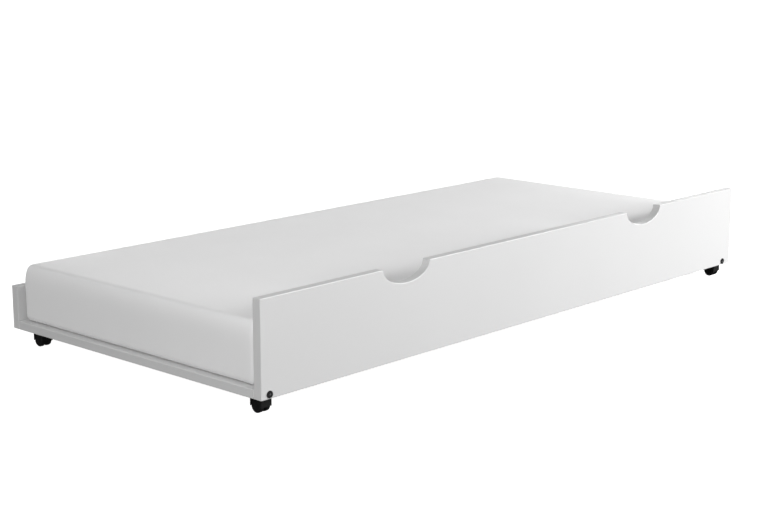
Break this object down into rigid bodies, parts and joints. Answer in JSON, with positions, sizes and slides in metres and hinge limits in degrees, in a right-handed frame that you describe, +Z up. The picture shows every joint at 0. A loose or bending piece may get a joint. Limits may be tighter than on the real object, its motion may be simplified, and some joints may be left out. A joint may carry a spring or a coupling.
{
  "type": "trundle bed",
  "caption": "Low pull-out bed on casters: tall front panel with hand-grip cut-outs, low back rail, slatted base and a plain loose mattress.",
  "frame": {"origin": "on the floor under the middle of the bed's outline", "axes": "+X along the bed's length towards its right end, +Y from the tall front panel to the back rail, +Z up"},
  "size_m": [2.03, 0.979, 0.284],
  "materials": {
    "painted_wood": "smooth satin white paint",
    "bare_pine": "planed, unpainted",
    "beech": "plain turned beech",
    "mattress_cover": "matte white fine-knit cover",
    "black_steel": "satin black",
    "zinc_steel": "bright zinc plate",
    "black_plastic": "moulded, satin black"
  },
  "bodies": {
    "frame": {"front_panel": "painted_wood", "back_rail": "painted_wood", "end_rail_left": "painted_wood", "end_rail_right": "painted_wood", "slat_cleat_front": "painted_wood", "slat_cleat_back": "painted_wood", "slat_01": "bare_pine", "slat_02": "bare_pine", "slat_03": "bare_pine", "slat_04": "bare_pine", "slat_05": "bare_pine", "slat_06": "bare_pine", "slat_07": "bare_pine", "slat_08": "bare_pine", "slat_09": "bare_pine", "slat_10": "bare_pine", "slat_11": "bare_pine", "slat_12": "bare_pine", "slat_13": "bare_pine", "connector_bolt_front_left": "black_steel", "barrel_nut_front_left": "zinc_steel", "dowel_front_left": "beech", "connector_bolt_front_right": "black_steel", "barrel_nut_front_right": "zinc_steel", "dowel_front_right": "beech", "connector_bolt_back_left": "black_steel", "barrel_nut_back_left": "zinc_steel", "dowel_back_left": "beech", "connector_bolt_back_right": "black_steel", "barrel_nut_back_right": "zinc_steel", "dowel_back_right": "beech", "caster_front_left_plate": "black_steel", "caster_front_left_kingpin": "zinc_steel", "caster_front_right_plate": "black_steel", "caster_front_right_kingpin": "zinc_steel", "caster_back_left_plate": "black_steel", "caster_back_left_kingpin": "zinc_steel", "caster_back_right_plate": "black_steel", "caster_back_right_kingpin": "zinc_steel"},
    "mattress": {"mattress": "mattress_cover"},
    "caster_front_left_swivel": {"caster_front_left_hood": "black_plastic", "caster_front_left_axle": "zinc_steel"},
    "caster_front_left_wheel_left": {"caster_front_left_wheel_left": "black_plastic"},
    "caster_front_left_wheel_right": {"caster_front_left_wheel_right": "black_plastic"},
    "caster_front_right_swivel": {"caster_front_right_hood": "black_plastic", "caster_front_right_axle": "zinc_steel"},
    "caster_front_right_wheel_left": {"caster_front_right_wheel_left": "black_plastic"},
    "caster_front_right_wheel_right": {"caster_front_right_wheel_right": "black_plastic"},
    "caster_back_left_swivel": {"caster_back_left_hood": "black_plastic", "caster_back_left_axle": "zinc_steel"},
    "caster_back_left_wheel_left": {"caster_back_left_wheel_left": "black_plastic"},
    "caster_back_left_wheel_right": {"caster_back_left_wheel_right": "black_plastic"},
    "caster_back_right_swivel": {"caster_back_right_hood": "black_plastic", "caster_back_right_axle": "zinc_steel"},
    "caster_back_right_wheel_left": {"caster_back_right_wheel_left": "black_plastic"},
    "caster_back_right_wheel_right": {"caster_back_right_wheel_right": "black_plastic"}
  },
  "joints": [
    {"name": "mattress_lift", "type": "slide", "parent": "frame", "child": "mattress", "axis": [0, 0, 1], "range_m": [0, 0.3]},
    {"name": "caster_front_left_turn", "type": "hinge", "parent": "frame", "child": "caster_front_left_swivel", "pos_m": [-0.973, -0.427, 0.04], "axis": [0, 0, 1], "continuous": true},
    {"name": "caster_front_left_wheel_left_roll", "type": "hinge", "parent": "caster_front_left_swivel", "child": "caster_front_left_wheel_left", "pos_m": [-0.973, -0.4395, 0.017], "axis": [1, 0, 0], "continuous": true},
    {"name": "caster_front_left_wheel_right_roll", "type": "hinge", "parent": "caster_front_left_swivel", "child": "caster_front_left_wheel_right", "pos_m": [-0.973, -0.4395, 0.017], "axis": [1, 0, 0], "continuous": true},
    {"name": "caster_front_right_turn", "type": "hinge", "parent": "frame", "child": "caster_front_right_swivel", "pos_m": [0.991, -0.427, 0.04], "axis": [0, 0, 1], "continuous": true},
    {"name": "caster_front_right_wheel_left_roll", "type": "hinge", "parent": "caster_front_right_swivel", "child": "caster_front_right_wheel_left", "pos_m": [0.991, -0.4395, 0.017], "axis": [1, 0, 0], "continuous": true},
    {"name": "caster_front_right_wheel_right_roll", "type": "hinge", "parent": "caster_front_right_swivel", "child": "caster_front_right_wheel_right", "pos_m": [0.991, -0.4395, 0.017], "axis": [1, 0, 0], "continuous": true},
    {"name": "caster_back_left_turn", "type": "hinge", "parent": "frame", "child": "caster_back_left_swivel", "pos_m": [-0.973, 0.427, 0.04], "axis": [0, 0, 1], "continuous": true},
    {"name": "caster_back_left_wheel_left_roll", "type": "hinge", "parent": "caster_back_left_swivel", "child": "caster_back_left_wheel_left", "pos_m": [-0.973, 0.4145, 0.017], "axis": [1, 0, 0], "continuous": true},
    {"name": "caster_back_left_wheel_right_roll", "type": "hinge", "parent": "caster_back_left_swivel", "child": "caster_back_left_wheel_right", "pos_m": [-0.973, 0.4145, 0.017], "axis": [1, 0, 0], "continuous": true},
    {"name": "caster_back_right_turn", "type": "hinge", "parent": "frame", "child": "caster_back_right_swivel", "pos_m": [0.991, 0.427, 0.04], "axis": [0, 0, 1], "continuous": true},
    {"name": "caster_back_right_wheel_left_roll", "type": "hinge", "parent": "caster_back_right_swivel", "child": "caster_back_right_wheel_left", "pos_m": [0.991, 0.4145, 0.017], "axis": [1, 0, 0], "continuous": true},
    {"name": "caster_back_right_wheel_right_roll", "type": "hinge", "parent": "caster_back_right_swivel", "child": "caster_back_right_wheel_right", "pos_m": [0.991, 0.4145, 0.017], "axis": [1, 0, 0], "continuous": true}
  ]
}
